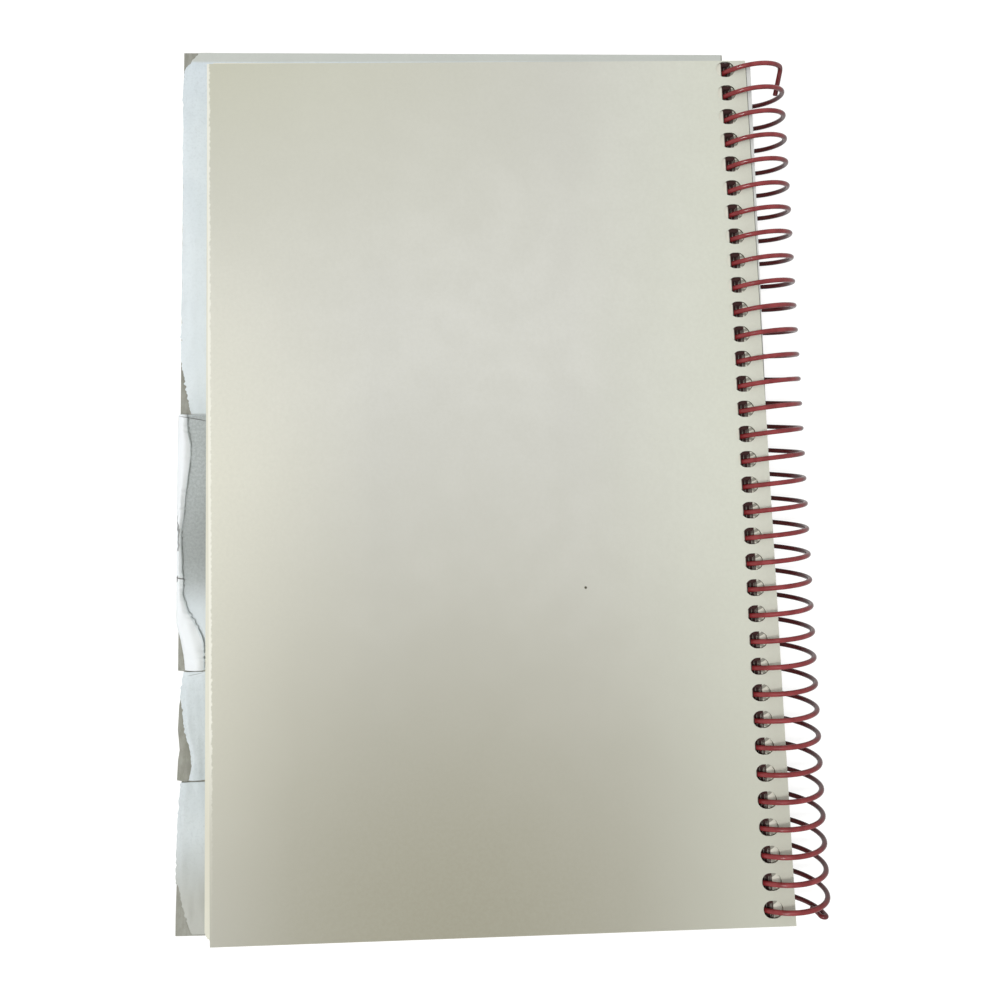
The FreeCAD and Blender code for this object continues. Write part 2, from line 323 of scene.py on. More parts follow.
# %% A sheet with a row of holes
def hole_sheet(mesh, left, right, ends, hole_sides, rows, half_hole, heights, turn=None):
    """Add a thin sheet with a row of square holes to a bmesh. Places are in millimetres. right is the
    spine edge's place at the foot and at the head, and turn moves a point as its cover lies."""
    foot, head = ends
    breaks = [foot]
    for y in rows:
        breaks += [y - half_hole, y + half_hole]
    breaks.append(head)

    def corner(x, y, z):
        if turn:
            x, y = turn(x, y)
        return place(x, y, z)

    layers = []
    for z in heights:
        a = [mesh.verts.new(corner(left, y, z)) for y in ends]
        b, c = ([mesh.verts.new(corner(side, y, z)) for y in breaks] for side in hole_sides)
        d = [mesh.verts.new(corner(x, y, z)) for x, y in zip(right, ends)]
        layers.append((a, b, c, d))
    for is_top, (a, b, c, d) in enumerate(layers):
        faces = [[a[0]] + b + [a[1]], c[:1] + [d[0], d[1]] + c[:0:-1]]
        faces += [[b[i], c[i], c[i + 1], b[i + 1]] for i in range(0, len(breaks), 2)]
        for face in faces:
            mesh.faces.new(face if is_top else face[::-1])
    a, b, c, d = (list(zip(low, high)) for low, high in zip(*layers))
    last = len(breaks) - 1
    walls = [(a[1], a[0]), (d[0], d[1]), (a[0], b[0]), (b[0], c[0]), (c[0], d[0]),
             (b[last], a[1]), (c[last], b[last]), (d[1], c[last])]
    for i in range(1, last, 2):
        walls += [(b[i], b[i + 1]), (c[i + 1], c[i]), (c[i], b[i]), (b[i + 1], c[i + 1])]
    for p, q in walls:
        mesh.faces.new([p[0], q[0], q[1], p[1]])


def add_object(name, mesh):
    """Turn a bmesh into an object of that name."""
    data = bpy.data.meshes.new(name)
    mesh.to_mesh(data)
    mesh.free()
    made = bpy.data.objects.new(name, data)
    bpy.context.scene.collection.objects.link(made)
    return made


print("a row of", HOLES, "holes is", round(ROW_Y[-1] - ROW_Y[0], 2), "mm long")

# %% [markdown]
# The leaves are what make a book look like a book from the side. A striped block would do from far
# away, but real leaves never line up: each lies a hair off the next, and their holes make small steps.
# So the block is built as a stack of thin sheets, each with its own holes, shifted a little by a
# seeded random amount, and the top few fan out at the head, by the coil. The holes follow the coil's
# curve from leaf to leaf. Real leaves are about 0.1 mm thick; these are drawn 0.22 mm so that they
# show, with a little air between them.

# %% The stack of leaves
LEAF_WIDTH = 138.4
HOLE_MARGIN = 5.35
BLOCK_TOP, BLOCK_BASE = 6.45, -5.75
LEAF_MIDDLE, LEAF_HALF = -0.9, 107.3
LEAF_COUNT = 48
PAPER_SHARE = 0.86
HALF_HOLE, HOLE_SHIFT = 1.9, 0.4
WIRE_ROOM = WIRE / 2 + 0.15
LOOSE_ACROSS, LOOSE_ALONG = 0.1, 0.12
FAN, FANNED_LEAVES = 1.3, 9

random.seed(34)
leaves = bmesh.new()
step = (BLOCK_TOP - BLOCK_BASE) / LEAF_COUNT
for i in range(LEAF_COUNT):
    low = BLOCK_BASE + i * step
    middle = low + step / 2
    wire, out, inn = (-math.sqrt((COIL_RADIUS + gap) ** 2 - middle ** 2)
                      for gap in (0.0, WIRE_ROOM, -WIRE_ROOM))
    dx = random.uniform(-LOOSE_ACROSS, LOOSE_ACROSS)
    dy = random.uniform(-LOOSE_ALONG, LOOSE_ALONG)
    spine = wire + HOLE_MARGIN + dx
    fanned = FAN * max(0.0, 1 - (LEAF_COUNT - 1 - i) / FANNED_LEAVES)
    hole_sheet(leaves, spine - LEAF_WIDTH, (spine - 0.3 * fanned, spine + fanned),
               (LEAF_MIDDLE - LEAF_HALF + dy, LEAF_MIDDLE + LEAF_HALF + dy + 0.5 * fanned),
               (out + dx, inn + dx), [y + dy - HOLE_SHIFT for y in ROW_Y], HALF_HOLE,
               (low, low + step * PAPER_SHARE))
leaf_stack = add_object("leaf_stack", leaves)
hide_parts("page_block")
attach(leaf_stack, "leaves")
print("leaves:", LEAF_COUNT, "sheets,", len(leaf_stack.data.polygons), "faces")

# %% [markdown]
# The leaves are uncoated book paper, warmer than the card. Its cut edges are slightly uneven in tone,
# leaf by leaf, which the streaks give: far longer along the edge than they are high. On the top leaf,
# where the cover leaves it bare, painted shade gives a grey rim in each of the cover's round-ended
# holes. A dark line along the cover's edge by the coil is that edge's painted shadow, with a cooler
# strip beside it. Deep in the holes the paper is painted dark red: painted shade, with a painted
# reflection of the wire beside it. Fibres are drawn at 0.5 mm, coarser than real ones.

# %% Paper of the leaves
COVER_ROW_X = -6.76
COVER_ROW_Y = 0.32
COVER_ROW_SLANT = math.tan(math.radians(0.35))
COVER_HOLE_HALVES = (2.4, 2.05)


def from_cover_hole(tree, across, along):
    """How far a point is from the middle of the nearest hole of the cover, which is 1 at its rim."""
    row_start = ROW_MIDDLE_Y / MM + COVER_ROW_Y - PITCH / 2
    past = add(tree, "Math", {0: along, 1: row_start}, operation="SUBTRACT")
    phase = add(tree, "Math", {0: past, 1: PITCH}, operation="FLOORED_MODULO")
    down = add(tree, "Math", {0: phase, 1: PITCH / 2}, operation="SUBTRACT")
    row_x = add(tree, "Math", {0: along, 1: COVER_ROW_SLANT, 2: COVER_ROW_X + AXIS.x / MM},
                operation="MULTIPLY_ADD")
    beside = add(tree, "Math", {0: across, 1: row_x}, operation="SUBTRACT")
    u, v = (add(tree, "Math", {0: way, 1: half}, operation="DIVIDE")
            for way, half in zip((beside, down), COVER_HOLE_HALVES))
    return add(tree, "VectorMath", {0: add(tree, "CombineXYZ", {0: u, 1: v})}, operation="LENGTH")


def book_paper():
    material, tree, where = new_material("uncoated_book_paper")
    spot = add(tree, "SeparateXYZ", {0: where})
    across, along = spot.outputs[0], spot.outputs[1]
    facing = add(tree, "SeparateXYZ", {0: add(tree, "TexCoord").outputs["Normal"]}).outputs[2]
    face_up = add(tree, "MapRange", {0: facing, 1: 0.5, 2: 0.8}, **SOFT_STEP)
    flatness = add(tree, "Math", {0: facing}, operation="ABSOLUTE")
    on_a_face = add(tree, "MapRange", {0: flatness, 1: 0.5, 2: 0.8}, **SOFT_STEP)
    # Paper, streaked on its edges and soiled in wide clouds.
    leaf_by_leaf = add(tree, "VectorMath", {0: where, 1: (0.05, 0.05, 3.0)}, **TIMES)
    streaks = add(tree, "TexNoise", {"Vector": leaf_by_leaf, "Scale": 1 / 1.2})
    tone = add(tree, "Mix", {0: on_a_face, 2: streaks, 3: 0.5}, data_type="FLOAT")
    toned = add(tree, "MapRange", {0: tone, 1: 0.3, 2: 0.7}, **SOFT_STEP)
    clouds = add(tree, "TexNoise", {"Vector": where, "Scale": 1 / 30})
    soiled = add(tree, "MapRange", {0: clouds, 1: 0.4, 2: 0.75, 4: 0.2}, **SOFT_STEP)
    # The painted shade of the rims under the cover's holes.
    hole = from_cover_hole(tree, across, along)
    rim = add(tree, "MapRange", {0: hole, 1: 0.86, 2: 0.96, 4: 0.75}, **SOFT_STEP)
    rim = add(tree, "Math", {0: rim, 1: face_up}, **TIMES)
    rim_end = add(tree, "MapRange", {0: hole, 1: 1.3, 2: 1.2}, **SOFT_STEP)
    rim = add(tree, "Math", {0: rim, 1: rim_end}, **TIMES)
    # The painted shadow line of the cover's edge, and the cooler strip beside it.
    edge = add(tree, "Math", {0: along, 1: COVER_EDGE_SLANT, 2: COVER_EDGE_X},
               operation="MULTIPLY_ADD")
    out = add(tree, "Math", {0: across, 1: edge}, operation="SUBTRACT")
    strip = add(tree, "MapRange", {0: out, 1: 0.3, 2: 0.5, 4: 0.8}, **SOFT_STEP)
    strip = add(tree, "Math", {0: strip, 1: face_up}, **TIMES)
    line = add(tree, "MapRange", {0: out, 1: -0.1, 2: 0.0}, **SOFT_STEP)
    line_end = add(tree, "MapRange", {0: out, 1: 0.5, 2: 0.35}, **SOFT_STEP)
    line = add(tree, "Math", {0: line, 1: line_end}, **TIMES)
    line = add(tree, "Math", {0: line, 1: face_up}, **TIMES)
    # Painted shade, with the wire's painted red reflection, on the walls of the holes, in a ring round
    # the coil's axis.
    level = add(tree, "VectorMath", {0: where, 1: (1, 0, 1)}, **TIMES)
    reach = add(tree, "VectorMath", {0: level, 1: (AXIS.x / MM, 0.0, AXIS.z / MM)},
                operation="DISTANCE")
    hole_shade = add(tree, "Math", {
        0: add(tree, "MapRange", {0: reach, 1: 8.6, 2: 8.8}, **SOFT_STEP),
        1: add(tree, "MapRange", {0: reach, 1: 10.65, 2: 10.45}, **SOFT_STEP)}, **TIMES)
    paper = paint(tree, "#DAD9CB", (toned, "#E7E6D8"), (soiled, "#CFC8B4"), (rim, "#77756A"),
                  (strip, "#DDE1E0"), (line, "#46453D"), (hole_shade, "#3A2120"))
    fibres = add(tree, "TexNoise", {"Vector": where, "Scale": 1 / 0.5})
    bump = add(tree, "Bump", {"Strength": 0.2, "Distance": 0.00005, "Height": fibres})
    shader = add(tree, "BsdfPrincipled", {"Base Color": paper, "Roughness": 0.85,
                                          "Specular IOR Level": 0.3, "Normal": bump})
    add(tree, "OutputMaterial", {"Surface": shader})
    return material


leaf_stack.data.materials.append(book_paper())
print("leaves in", leaf_stack.data.materials[0].name)

# %% [markdown]
# The lining is the part with the most history. It lies flat on the board under the leaves, and along
# the fore-edge it has come away, torn, curled and folded. A flat sheet with holes covers the hidden
# part, and four patches make the margin beyond it.

# %% Flat part of the lining
LINING_TOP = -5.8
LINING_THICK = 0.2
MARGIN_X = -143.0
FRONT_MIDDLE, FRONT_HALF = 1.6, 114.3
FRONT_HOLES = -7.02
FRONT_HOLE_HALVES = (1.8, 2.0)
FRONT_ROW_SHIFT = -2.43
FRONT_TURN = math.radians(-0.25)


def front_turn(x, y):
    """A point of the front cover, turned with it about the middle of its row of holes."""
    dx, dy = x - FRONT_HOLES, y - FRONT_ROW_SHIFT
    return (FRONT_HOLES + dx * math.cos(FRONT_TURN) - dy * math.sin(FRONT_TURN),
            FRONT_ROW_SHIFT + dx * math.sin(FRONT_TURN) + dy * math.cos(FRONT_TURN))


half_across, half_along = FRONT_HOLE_HALVES
lining = bmesh.new()
hole_sheet(lining, MARGIN_X, (FRONT_HOLES + 3.5,) * 2,
           (FRONT_MIDDLE - FRONT_HALF + 0.1, FRONT_MIDDLE + FRONT_HALF - 0.3),
           (FRONT_HOLES - half_across, FRONT_HOLES + half_across),
           [y + FRONT_ROW_SHIFT for y in ROW_Y], half_along, (LINING_TOP - LINING_THICK, LINING_TOP),
           turn=front_turn)
print("flat lining:", len(lining.faces), "faces")

# %% [markdown]
# Each patch of the margin is a short list of stations down the page, and each station is a profile
# across it, from the leaves out to the edge: places across, and heights above the flat lining. Smooth
# curves through those few points give the folds, a little noise gives the crumple and the ragged edge,
# and the same surface set back by the paper's thickness makes the underside. Sculpting would do as
# well, but numbers can be read and changed. The curled patch rolls over on itself: its last places come
# back over the ones before. Points that would pass the solid's box on the fore-edge side or at the head
# are moved back onto it.

# %% Curved patches
def along_points(points, t):
    """A smooth curve through points of any dimension, at t from 0 to the last index."""
    i = min(int(t), len(points) - 2)
    f = t - i
    before, here = points[max(i - 1, 0)], points[i]
    after, beyond = points[i + 1], points[min(i + 2, len(points) - 1)]
    value = []
    for a, b, c, d in zip(before, here, after, beyond):
        slope_in, slope_out = (c - a) / 2, (d - b) / 2
        value.append(b * (2 * f ** 3 - 3 * f ** 2 + 1) + slope_in * (f ** 3 - 2 * f ** 2 + f)
                     + c * (3 * f ** 2 - 2 * f ** 3) + slope_out * (f ** 3 - f ** 2))
    return value


def add_patch(mesh, low_heights, stations, fine_y, fine_x, crumple):
    """A curled patch through stations of (y, places across, heights), which start at the margin with
    the low heights that all of them share. It is thickened square to its own face."""
    flat = [[y] + [c for point in zip((MARGIN_X,) + places, low_heights + heights) for c in point]
            for y, places, heights in stations]
    upper, lower = [], []
    for j in range(fine_y + 1):
        values = along_points(flat, j * (len(flat) - 1) / fine_y)
        profile = [values[1 + 2 * k:3 + 2 * k] for k in range((len(values) - 1) // 2)]
        points = []
        for k in range(fine_x + 1):
            x, z = along_points(profile, k * (len(profile) - 1) / fine_x)
            share = k / fine_x
            rise = noise.noise(Vector((x * 0.5, values[0] * 0.22, 3.0 + share))) * crumple * share
            rag = noise.noise(Vector((0.0, values[0] * 1.3, 7.0))) * 0.5 * share ** 4
            points.append(Vector((x + rag, max(z + rise, 0.0))))
        rows = ([], [])
        for k, point in enumerate(points):
            slope = points[min(k + 1, fine_x)] - points[max(k - 1, 0)]
            slope.normalize()
            under = point - Vector((slope.y, -slope.x)) * LINING_THICK
            for row, (x, z) in zip(rows, (point, under)):
                spot = place(*front_turn(x, values[0]), LINING_TOP + z)
                spot.x = max(spot.x, cad_box[0][0])
                spot.y = min(spot.y, cad_box[1][1])
                row.append(mesh.verts.new(spot))
        upper.append(rows[0])
        lower.append(rows[1])
    for j in range(fine_y):
        for k in range(fine_x):
            mesh.faces.new([upper[j][k], upper[j][k + 1], upper[j + 1][k + 1], upper[j + 1][k]])
            mesh.faces.new([lower[j][k], lower[j + 1][k], lower[j + 1][k + 1], lower[j][k + 1]])
    rim = [(j, 0) for j in range(fine_y)] + [(fine_y, k) for k in range(fine_x)]
    rim += [(j, fine_x) for j in range(fine_y, 0, -1)] + [(0, k) for k in range(fine_x, 0, -1)]
    for (j, k), (m, n) in zip(rim, rim[1:] + rim[:1]):
        mesh.faces.new([upper[j][k], upper[m][n], lower[m][n], lower[j][k]])


print("halfway between 0 and 1 on a curve:", along_points([(0.0,), (1.0,)], 0.5))

# %% The four patches
HEAD_PATCH = [
    (115.7, (-144.6, -145.6, -146.5), (0, 0, 0)),
    (112.7, (-145.4, -147.2, -148.8), (0, 0.1, 0.1)),
    (108.6, (-146.0, -148.4, -150.6), (0.1, 0.2, 0.2)),
    (91.4, (-145.9, -148.4, -150.6), (0.1, 0.3, 0.3)),
    (60.4, (-145.8, -148.3, -150.5), (0.2, 0.4, 0.4)),
    (39.4, (-145.7, -148.3, -150.5), (0.3, 0.6, 0.7)),
    (31.4, (-145.7, -148.2, -150.4), (0.4, 0.9, 1.1)),
    (26.8, (-145.4, -147.6, -149.5), (0.5, 1.1, 1.4)),
    (23.7, (-145.2, -147.3, -149.0), (0.6, 1.2, 1.6)),
    (21.4, (-145.0, -146.9, -148.5), (0.6, 1.3, 1.8)),
    (18.8, (-144.8, -146.4, -147.9), (0.7, 1.4, 2)),
    (16.9, (-144.6, -146.1, -147.3), (0.7, 1.5, 2.1)),
]
CURL_PATCH = [
    (17.0, (-146.1, -149.1, -150.4, -150.8, -150.5, -149.7, -148.8), (0.855, 1.15, 0.36)),
    (13.2, (-146.1, -149.0, -150.7, -150.9, -150.7, -149.7, -148.6), (0.855, 1.15, 0.36)),
    (9.9, (-146.0, -149.0, -150.7, -150.9, -150.8, -149.4, -147.9), (0.855, 1.15, 0.36)),
    (4.9, (-146.0, -149.0, -150.7, -150.9, -150.8, -149.5, -148.0), (0.855, 1.15, 0.36)),
    (-0.6, (-146.0, -149.0, -150.8, -150.9, -150.9, -149.8, -148.6), (0.855, 1.15, 0.36)),
    (-4.1, (-146.0, -149.0, -150.9, -150.9, -150.9, -150.1, -149.1), (0.855, 1.15, 0.36)),
    (-9.2, (-146.0, -149.0, -150.9, -150.9, -150.9, -150.3, -149.5), (0.855, 1.15, 0.36)),
    (-12.8, (-145.9, -148.9, -150.9, -150.9, -150.9, -150.6, -150.0), (0.855, 1.15, 0.36)),
    (-16.0, (-145.9, -148.9, -150.9, -150.9, -150.9, -150.6, -150.0), (0.855, 1.15, 0.36)),
    (-19.5, (-145.9, -148.9, -150.9, -150.9, -150.9, -150.5, -149.7), (0.855, 1.15, 0.36)),
    (-22.9, (-145.9, -148.9, -150.9, -150.9, -150.9, -150.5, -149.7), (0.855, 1.15, 0.36)),
    (-26.3, (-145.9, -148.9, -150.9, -150.9, -150.9, -150.3, -149.4), (0.855, 1.15, 0.36)),
    (-28.5, (-145.9, -148.9, -150.9, -150.9, -150.9, -150.3, -149.6), (0.855, 1.15, 0.36)),
    (-30.7, (-145.9, -148.8, -150.9, -150.9, -150.9, -150.0, -149.0), (0.95, 1.255, 0.4)),
    (-33.2, (-145.9, -148.7, -150.7, -150.9, -150.8, -149.5, -148.2), (1.1, 1.38, 0.46)),
    (-35.2, (-145.8, -148.7, -150.5, -150.8, -150.6, -148.8, -146.9), (1.2, 1.48, 0.52)),
    (-37.3, (-145.8, -148.6, -150.2, -150.6, -150.2, -148.1, -145.7), (1.3, 1.585, 0.58)),
    (-40.4, (-145.8, -148.5, -149.4, -149.8, -149.0, -146.8, -144.3), (1.4, 1.74, 0.9)),
    (-42.6, (-145.8, -148.5, -148.9, -149.3, -148.1, -146.2, -144.0), (1.425, 1.75, 0.9)),
    (-44.6, (-145.8, -148.5, -148.5, -148.9, -147.5, -145.8, -143.9), (1.425, 1.75, 0.9)),
    (-46.1, (-145.8, -148.5, -148.3, -148.7, -146.9, -145.5, -143.9), (1.425, 1.75, 0.9)),
    (-48.2, (-145.8, -148.5, -148.1, -148.5, -147.1, -145.6, -143.8), (1.425, 1.75, 0.9)),
]
BELLY_PATCH = [
    (-48.7, (-144.6, -146.3, -148.1, -149.2), (0.24, 0.4, 0.3)),
    (-54.3, (-144.8, -146.7, -148.6, -149.9), (0.36, 0.6, 0.45)),
    (-58.1, (-144.6, -146.4, -148.1, -149.3), (0.54, 0.9, 0.675)),
    (-62.1, (-144.5, -146.1, -147.7, -148.9), (0.6, 1, 0.75)),
    (-64.7, (-144.3, -145.8, -147.2, -148.3), (0.66, 1.1, 0.825)),
    (-67.3, (-144.0, -145.2, -146.5, -147.4), (0.72, 1.2, 0.9)),
    (-72.0, (-143.9, -145.0, -146.1, -146.9), (0.72, 1.2, 0.9)),
    (-75.4, (-144.1, -145.3, -146.6, -147.6), (0.54, 0.9, 0.675)),
]
FOOT_PATCH = [
    (-75.9, (-144.6, -146.5, -148.3, -149.6), (0.25, 0.5, 0.25)),
    (-81.7, (-144.7, -146.7, -148.7, -150.1), (0.3, 0.6, 0.3)),
    (-87.5, (-144.8, -146.9, -148.9, -150.4), (0.25, 0.5, 0.25)),
    (-94.7, (-144.8, -147.0, -149.1, -150.6), (0.25, 0.5, 0.25)),
    (-99.5, (-144.9, -147.1, -149.2, -150.7), (0.2, 0.4, 0.2)),
    (-101.2, (-144.6, -146.6, -148.6, -149.9), (0.175, 0.35, 0.175)),
    (-104.4, (-144.4, -146.2, -148.0, -149.2), (0.15, 0.3, 0.15)),
    (-107.6, (-144.2, -145.8, -147.3, -148.4), (0.1, 0.2, 0.1)),
    (-109.8, (-144.0, -145.4, -146.8, -147.7), (0.05, 0.1, 0.05)),
    (-112.6, (-143.6, -144.7, -145.8, -146.5), (0, 0, 0)),
]
for low_heights, patch, fine_y, fine_x, crumple in (
        ((0,), HEAD_PATCH, 160, 14, 0.25), ((0.05, 0.1, 0.12, 0.15, 0.5), CURL_PATCH, 220, 70, 0.3),
        ((0, 0.2), BELLY_PATCH, 60, 24, 0.5), ((0, 0.1), FOOT_PATCH, 70, 20, 0.4)):
    add_patch(lining, low_heights, patch, fine_y, fine_x, crumple)
bmesh.ops.recalc_face_normals(lining, faces=lining.faces)
torn_lining = add_object("torn_lining", lining)
for polygon in torn_lining.data.polygons:
    polygon.use_smooth = len(polygon.vertices) == 4
torn_lining.data.set_sharp_from_angle(angle=math.radians(50))
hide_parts("cover_lining")
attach(torn_lining, "front")
print("torn lining:", len(torn_lining.data.polygons), "faces")

# %% [markdown]
# The lining is plain white lining paper, cooler in tone and smoother than the leaves. Where it has
# rolled over, its clean back shows bright, shaded a little at the fold. Between the roll's free edge
# and the leaves the paper below is grey, partly from scuffs and partly from painted shade in the valley
# under the roll. The margin has painted light at mid height, is darker and browner at the foot, and has
# painted shade at the very head. Fine creases and specks are rubbed into all of it, and dark cracks run
# where the paper has split. The roll's edge and the cracks are line graphs of the place across against
# the place along the book, so that the marks lie where the folds do. The brown, the grey and the bright
# part are kept to the margin, outside the leaves.

# %% Paper of the lining
# The roll's free edge, as (along, across) points.
ROLL_EDGE = [
    (16.1, -148.7), (13.1, -148.5), (9.8, -147.8), (6.7, -147.8), (2.7, -148.2), (-1.3, -148.7),
    (-4.1, -149.0), (-9.2, -149.4), (-12.8, -149.9), (-16.0, -149.9), (-19.5, -149.7),
    (-22.9, -149.7), (-24.0, -149.4), (-26.2, -149.3), (-28.4, -149.5), (-30.6, -148.9),
    (-33.1, -148.1), (-35.1, -146.9), (-37.2, -145.7), (-40.3, -144.3), (-43.5, -143.9),
    (-48.4, -143.9),
]

# Each crack is its line, as (along, across) points, its half width in millimetres and its strength.
CRACKS = [
    ([(-17.5, -150.3), (-13.5, -150.5), (-8.5, -150.8)], 0.25, 0.7),
    ([(-24.8, -148.8), (-24.0, -151.5)], 0.8, 0.8),
    ([(-26.0, -150.9), (-23.8, -150.3)], 0.25, 0.7),
    ([(16.0, -144.0), (16.6, -147.0), (17.1, -150.2)], 0.9, 0.75),
    ([(-49.0, -147.5), (-48.4, -144.5)], 0.7, 0.4),
]
SCUFF_AND_SHADE = (-146.0, -17.0, 4.4)


def crack_masks(tree, where, across, along):
    """One mask for each crack: a thin line that wanders a little and stops at its two ends."""
    wobble = add(tree, "TexNoise", {"Vector": where, "Scale": 1 / 2.6, "Detail": 1.0})
    wander = add(tree, "MapRange", {0: wobble, 1: 0.3, 2: 0.7, 3: -0.25, 4: 0.25}, **SOFT_STEP)
    masks = []
    for line, width, weight in CRACKS:
        away = add(tree, "Math", {0: across, 1: graph(tree, along, line)}, operation="SUBTRACT")
        off = add(tree, "Math", {0: wander, 1: away}, operation="ADD")
        off = add(tree, "Math", {0: off}, operation="ABSOLUTE")
        mask = add(tree, "MapRange", {0: off, 1: width, 2: width * 0.4, 4: weight}, **SOFT_STEP)
        for end, inward in ((line[0][0], 0.2), (line[-1][0], -0.2)):
            within = add(tree, "MapRange", {0: along, 1: end - inward, 2: end + inward}, **SOFT_STEP)
            mask = add(tree, "Math", {0: mask, 1: within}, **TIMES)
        masks.append(mask)
    return masks


def lining_paper():
    material, tree, where = new_material("white_lining_paper")
    corner = (AXIS.x / MM, ROW_MIDDLE_Y / MM, 0.0)
    own = add(tree, "VectorMath", {0: where, 1: corner}, operation="SUBTRACT")
    spot = add(tree, "SeparateXYZ", {0: own})
    along = spot.outputs[1]
    turned = add(tree, "Math", {0: along, 1: math.tan(-FRONT_TURN)}, **TIMES)
    across = add(tree, "Math", {0: spot.outputs[0], 1: turned}, operation="SUBTRACT").outputs[0]
    beyond = add(tree, "Math", {0: across, 1: graph(tree, along, ROLL_EDGE)}, operation="SUBTRACT")
    margin = add(tree, "MapRange", {0: across, 1: -138.5, 2: -142.5}, **SOFT_STEP)
    # The paper itself.
    clouds = add(tree, "TexNoise", {"Vector": where, "Scale": 1 / 14, "Detail": 3.0})
    cloudy = add(tree, "MapRange", {0: clouds, 1: 0.3, 2: 0.7}, **SOFT_STEP)
    drawn_out = add(tree, "VectorMath", {0: where, 1: (1, 0.35, 1)}, **TIMES)
    creases = add(tree, "TexNoise",
                  {"Vector": drawn_out, "Scale": 1 / 1.4, "Detail": 4.0, "Roughness": 0.6})
    creased = add(tree, "MapRange", {0: creases, 1: 0.5, 2: 0.75, 4: 0.35}, **SOFT_STEP)
    specks = add(tree, "TexNoise",
                 {"Vector": where, "Scale": 1 / 0.7, "Detail": 3.0, "Roughness": 0.7})
    speckled = add(tree, "MapRange", {0: specks, 1: 0.45, 2: 0.7, 4: 0.3}, **SOFT_STEP)
    # Painted light: the margin is brighter at mid height.
    mid_height = graph(tree, along, [(-114, 0.0), (-52, 0.0), (-46, 0.4), (17, 0.5), (60, 0.4),
                                     (116, 0.0)])
    bright = add(tree, "Math", {0: mid_height, 1: margin}, **TIMES)
    # The clean back on the roll, with a shaded band along its fold.
    on_roll = add(tree, "MapRange", {0: beyond, 1: 0.15, 2: -0.1}, **SOFT_STEP)
    rolled = graph(tree, along, [(-114, 0), (-48.5, 0), (-48, 1), (17.3, 1), (17.5, 0), (116, 0)])
    clean = add(tree, "Math", {0: on_roll, 1: rolled}, **TIMES)
    at_fold = add(tree, "MapRange", {0: across, 1: -149.9, 2: -150.2}, **SOFT_STEP)
    fold = graph(tree, along, [(-114, 0), (-48, 1), (-41, 1), (-38, 0), (116, 0)])
    band = add(tree, "Math", {0: at_fold, 1: fold}, **TIMES)
    clean_back = paint(tree, "#EFF3F5", (band, "#D2D2DA"))
    # The paper between the roll and the leaves: scuffs, and painted shade in the valley under the roll.
    rough = add(tree, "MapRange", {0: specks, 1: 0.35, 2: 0.65}, **SOFT_STEP)
    scuffed_and_shaded = paint(tree, "#A4AAA9", (rough, "#B6BCBB"), (blot(tree, own, SCUFF_AND_SHADE, 22.0, 0.5), "#8B8F8C"))
    past_roll = add(tree, "MapRange", {0: beyond, 1: -0.1, 2: 0.3}, **SOFT_STEP)
    split = graph(tree, along, [(-114, 0.0), (-41, 0.0), (-32, 0.3), (-25, 0.9), (-20, 1.0),
                                (17.3, 1.0), (17.5, 0.0), (116, 0.0)])
    valley = add(tree, "Math", {
        0: past_roll, 1: add(tree, "Math", {0: split, 1: margin}, **TIMES)}, **TIMES)
    # Darker and browner at the foot, and painted shade at the very head.
    low_end = graph(tree, along, [(-114, 0.9), (-104, 0.85), (-88, 0.25), (-52, 0.15), (-46, 0.0),
                                  (116, 0.0)])
    foot = add(tree, "Math", {0: low_end, 1: margin}, **TIMES)
    head = add(tree, "MapRange", {0: along, 1: 113.2, 2: 114.0, 4: 0.8}, **SOFT_STEP)
    cracks = [(mask, "#4E4B48") for mask in crack_masks(tree, where, across, along)]
    paper = paint(tree, "#D3DDE2", (cloudy, "#DDE6EA"), (creased, "#C3CCCF"), (speckled, "#BCC6CA"),
                  (bright, "#EDF3F5"), (clean, clean_back), (valley, scuffed_and_shaded), (foot, "#B4B4AA"),
                  (head, "#C3C5BC"), *cracks)
    bump = add(tree, "Bump", {"Strength": 0.35, "Distance": 0.00015, "Height": creases})
    shader = add(tree, "BsdfPrincipled", {"Base Color": paper, "Roughness": 0.7,
                                          "Specular IOR Level": 0.35, "Normal": bump})
    add(tree, "OutputMaterial", {"Surface": shader})
    return material


torn_lining.data.materials.append(lining_paper())
print("lining in", torn_lining.data.materials[0].name)

# %% [markdown]
# The book lies on a white table. A wide plane catches its shadow, and a little light of its own
# lifts the table to white. Only the camera, reflections and glass see that light, so it doesn't
# brighten the book, and it stops under the book, where gaps in the pages would show it.

# %% Table
TABLE_LIFT = 0.80
TABLE_HALF = 3.0
UNDER_BOOK = ((-74.0, 66.0), (-108.0, 108.0))


def seen_rays(tree):
    """1 for rays that only look at a thing: from the camera, in reflections and through glass."""
    rays = add(tree, "LightPath").outputs
    seen = rays["Is Camera Ray"]
    for name in ("Is Glossy Ray", "Is Transmission Ray"):
        seen = add(tree, "Math", {0: seen, 1: rays[name]}, operation="MAXIMUM")
    return seen


def white_table():
    material, tree, where = new_material("white_table")
    spot = add(tree, "SeparateXYZ", {0: where})
    covered = 1.0
    for way, (low, high) in zip(spot.outputs, UNDER_BOOK):
        for start, end in ((low, low + 1.0), (high, high - 1.0)):
            within = add(tree, "MapRange", {0: way, 1: start, 2: end}, **SOFT_STEP)
            covered = add(tree, "Math", {0: covered, 1: within}, **TIMES)
    bare = add(tree, "Math", {0: 1.0, 1: covered}, operation="SUBTRACT")
    shown = add(tree, "Math", {0: seen_rays(tree), 1: bare}, **TIMES)
    lift = add(tree, "Math", {0: shown, 1: TABLE_LIFT}, **TIMES)
    surface = add(tree, "BsdfDiffuse", {"Color": colour("#9A9A98")})
    glow = add(tree, "Emission", {"Color": colour("#FFFFFF"), "Strength": lift})
    both = add(tree, "AddShader", {0: surface, 1: glow})
    add(tree, "OutputMaterial", {"Surface": both})
    return material


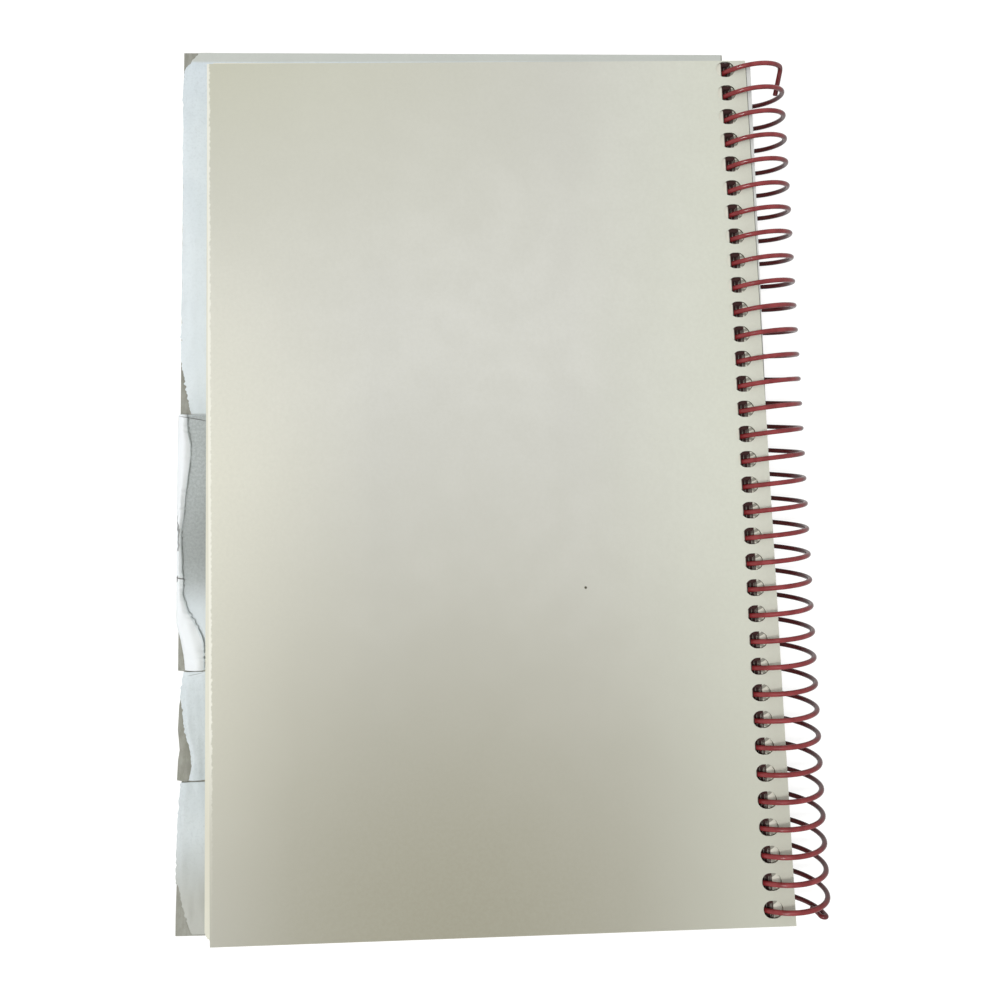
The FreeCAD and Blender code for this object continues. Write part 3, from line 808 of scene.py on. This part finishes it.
table_mesh = bmesh.new()
table_mesh.faces.new([table_mesh.verts.new((x * TABLE_HALF, y * TABLE_HALF, 0.0))
                      for x, y in ((-1, -1), (1, -1), (1, 1), (-1, 1))])
table = add_object("white_table", table_mesh)
table.data.materials.append(white_table())
print("table", 2 * TABLE_HALF, "m wide")

# %% [markdown]
# The light is what a book gets on a table by a window: soft from everywhere, and stronger from the
# fore-edge side, which puts the curled lining's inner slopes in shade. The world gives most of it,
# less from the horizon than from above. One large soft lamp adds the window, and a smaller one
# further round makes the highlights of the wire. White paper stays just below white. The camera,
# reflections and glass see the world as plain white.

# %% Light
BEAM = 60.0

world = bpy.data.worlds.new("pale_room")
bpy.context.scene.world = world
world.use_nodes = True
room = world.node_tree
background = room.nodes["Background"]
background.inputs["Color"].default_value = colour("#FFFFFF")
upward = add(room, "SeparateXYZ", {0: add(room, "TexCoord").outputs["Generated"]}).outputs[2]
daylight = add(room, "MapRange", {0: upward, 1: 0.0, 2: 0.9, 3: 0.4, 4: 0.63}, **SOFT_STEP)
strength = add(room, "Mix", {0: seen_rays(room), 2: daylight, 3: 1.0}, data_type="FLOAT")
room.links.new(strength.outputs[0], background.inputs["Strength"])


def area_lamp(name, at, aim, size, watts):
    """A square lamp with a honeycomb that keeps its beam narrow."""
    data = bpy.data.lights.new(name, "AREA")
    data.size = size
    data.energy = watts
    data.spread = math.radians(BEAM)
    lamp = bpy.data.objects.new(name, data)
    lamp.location = at
    lamp.rotation_euler = (Vector(aim) - Vector(at)).to_track_quat("-Z", "Y").to_euler()
    bpy.context.scene.collection.objects.link(lamp)


area_lamp("window", (-0.35, 0.05, 1.05), (-0.03, 0.01, 0.0), 0.7, 0.34)
area_lamp("bulb", (-0.42, -0.20, 1.0), (0.0, 0.0, 0.0), 0.22, 0.46)

# %% [markdown]
# The camera is held close over the book, a little to the left of its middle, and looks almost
# straight down. A short lens that near makes the book widen towards its foot. A small shift stands
# for the crop.

# %% Camera
camera_data = bpy.data.cameras.new("camera")
camera_data.sensor_width = 36.0
camera_data.lens = 32.4
camera_data.shift_x = 0.1121
camera_data.shift_y = -0.0820
camera_data.clip_start = 0.01
camera_data.dof.use_dof = False
camera = bpy.data.objects.new("camera", camera_data)
camera.location = (AXIS.x - 108.46 * MM, ROW_MIDDLE_Y - 5.23 * MM, AXIS.z + 227.41 * MM)
camera.rotation_euler = (math.radians(5.230), math.radians(-2.899), math.radians(-0.871))
bpy.context.scene.collection.objects.link(camera)
bpy.context.scene.camera = camera
bpy.context.scene.view_settings.view_transform = "Standard"
print("camera at", [round(c, 4) for c in camera.location])
